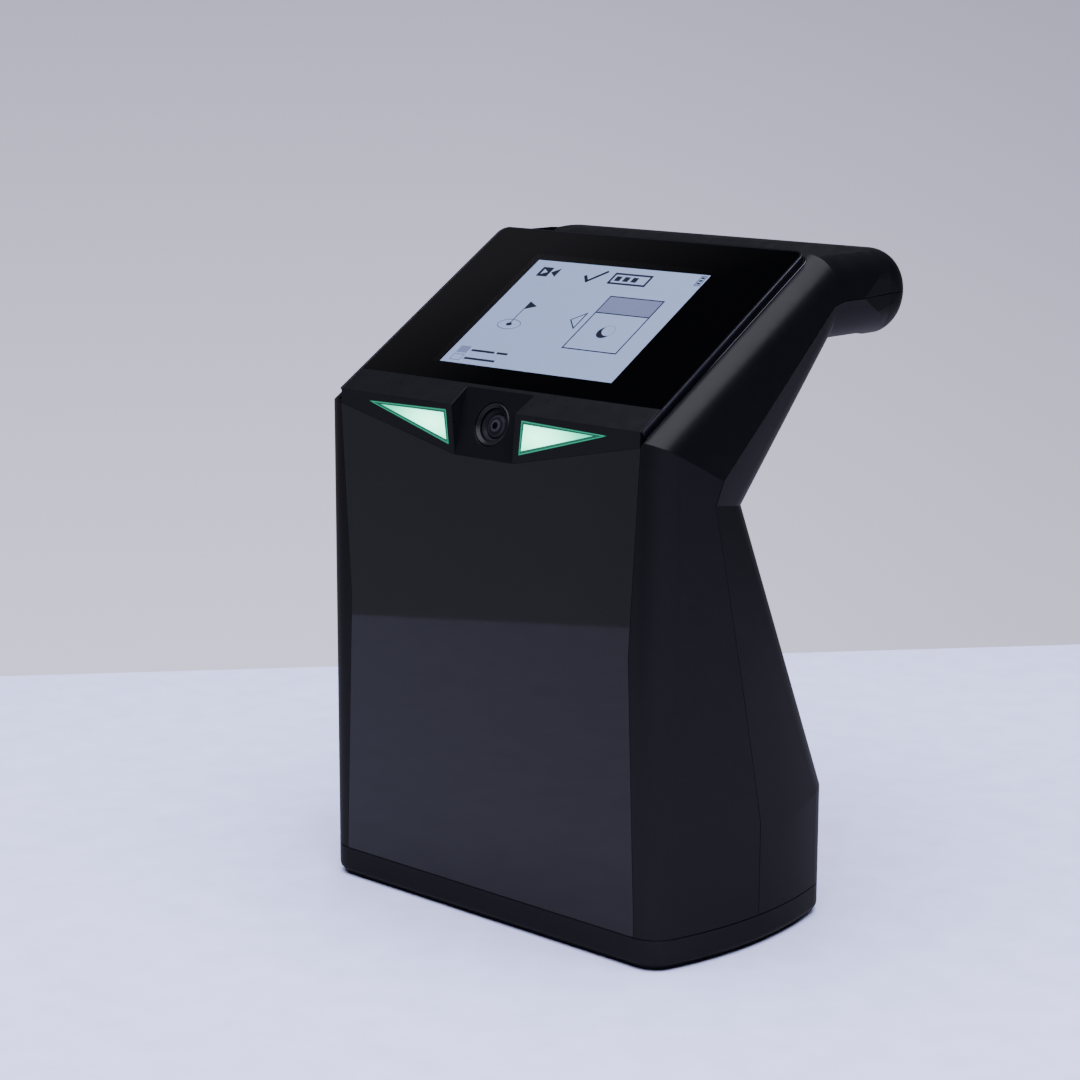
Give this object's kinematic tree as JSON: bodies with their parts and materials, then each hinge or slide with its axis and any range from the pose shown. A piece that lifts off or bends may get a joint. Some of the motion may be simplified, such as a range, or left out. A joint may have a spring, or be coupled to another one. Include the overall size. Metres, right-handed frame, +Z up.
{
  "type": "golf launch monitor",
  "caption": "Free-standing golf launch monitor: waisted black tower, gloss front window, sloping e-paper display head, status lights, small camera and a tube handle behind.",
  "frame": {"origin": "centre of the tower's footprint, on the underside of the rubber sole", "axes": "+Z up, -Y out of the front window towards the golfer, +X to the right of someone facing the window"},
  "size_m": [0.1808, 0.145, 0.2461],
  "materials": {
    "housing_plastic": "fine satin moulded black",
    "sole_rubber": "matt black rubber",
    "window_acrylic": "polished dark tinted acrylic",
    "seal_foam": "black adhesive foam",
    "frame_plastic": "dark grey moulded plastic",
    "bezel_plastic": "satin black",
    "light_lens": "frosted light guide, lit mint white",
    "circuit_board": "green solder mask",
    "rim_plastic": "satin black rim",
    "cover_glass": "clear polished glass",
    "mask_ink": "black printed border",
    "paper_screen": "pale grey electronic paper",
    "ribbon_film": "amber flexible film",
    "antenna_foil": "thin copper foil",
    "camera_plastic": "matt black",
    "ring_gloss": "satin black ring",
    "lens_glass": "coated lens glass",
    "chassis_alloy": "pressed sheet",
    "emitter_resin": "dark infrared resin",
    "battery_wrap": "blue shrink wrap",
    "bracket_steel": "zinc plated",
    "button_plastic": "satin dark grey",
    "flap_plastic": "satin black",
    "screw_steel": "black oxide steel"
  },
  "bodies": {
    "body": {"front_housing": "housing_plastic", "rear_housing": "housing_plastic", "base_cover": "housing_plastic", "rubber_sole": "sole_rubber", "front_window": "window_acrylic", "window_seal": "seal_foam", "window_frame": "frame_plastic", "front_bezel": "bezel_plastic", "status_lens_left": "light_lens", "status_lens_right": "light_lens", "status_board_left": "circuit_board", "status_board_right": "circuit_board", "camera_board": "circuit_board", "display_board": "circuit_board", "main_board": "circuit_board", "infrared_board_upper": "circuit_board", "infrared_board_lower": "circuit_board", "rear_board": "circuit_board", "display_frame": "rim_plastic", "display_glass": "cover_glass", "display_mask": "mask_ink", "epaper_panel": "paper_screen", "display_ribbon": "ribbon_film", "wifi_antenna": "antenna_foil", "camera_barrel": "camera_plastic", "measuring_camera_left": "camera_plastic", "measuring_camera_right": "camera_plastic", "measuring_lens_left": "camera_plastic", "measuring_lens_right": "camera_plastic", "power_switch": "camera_plastic", "main_chips": "camera_plastic", "camera_ring": "ring_gloss", "camera_lens": "lens_glass", "inner_chassis": "chassis_alloy", "heat_spreader": "chassis_alloy", "infrared_emitters": "emitter_resin", "battery_pack": "battery_wrap", "battery_bracket": "bracket_steel", "charging_socket": "bracket_steel", "flap_pin": "bracket_steel", "base_screws": "screw_steel", "handle_screws": "screw_steel", "chassis_screws": "screw_steel", "board_screws": "screw_steel"},
    "power_button": {"power_button": "button_plastic"},
    "port_flap": {"port_flap": "flap_plastic"}
  },
  "joints": [
    {"name": "button_press", "type": "slide", "parent": "body", "child": "power_button", "axis": [0, -1, 0], "range_m": [0, 0.0007], "stiffness_N_per_m": 1400, "springref_m": -0.0003},
    {"name": "flap_hinge", "type": "hinge", "parent": "body", "child": "port_flap", "pos_m": [0.03, 0.049, 0.0263], "axis": [-1, 0, 0], "range_deg": [0, 95]}
  ]
}
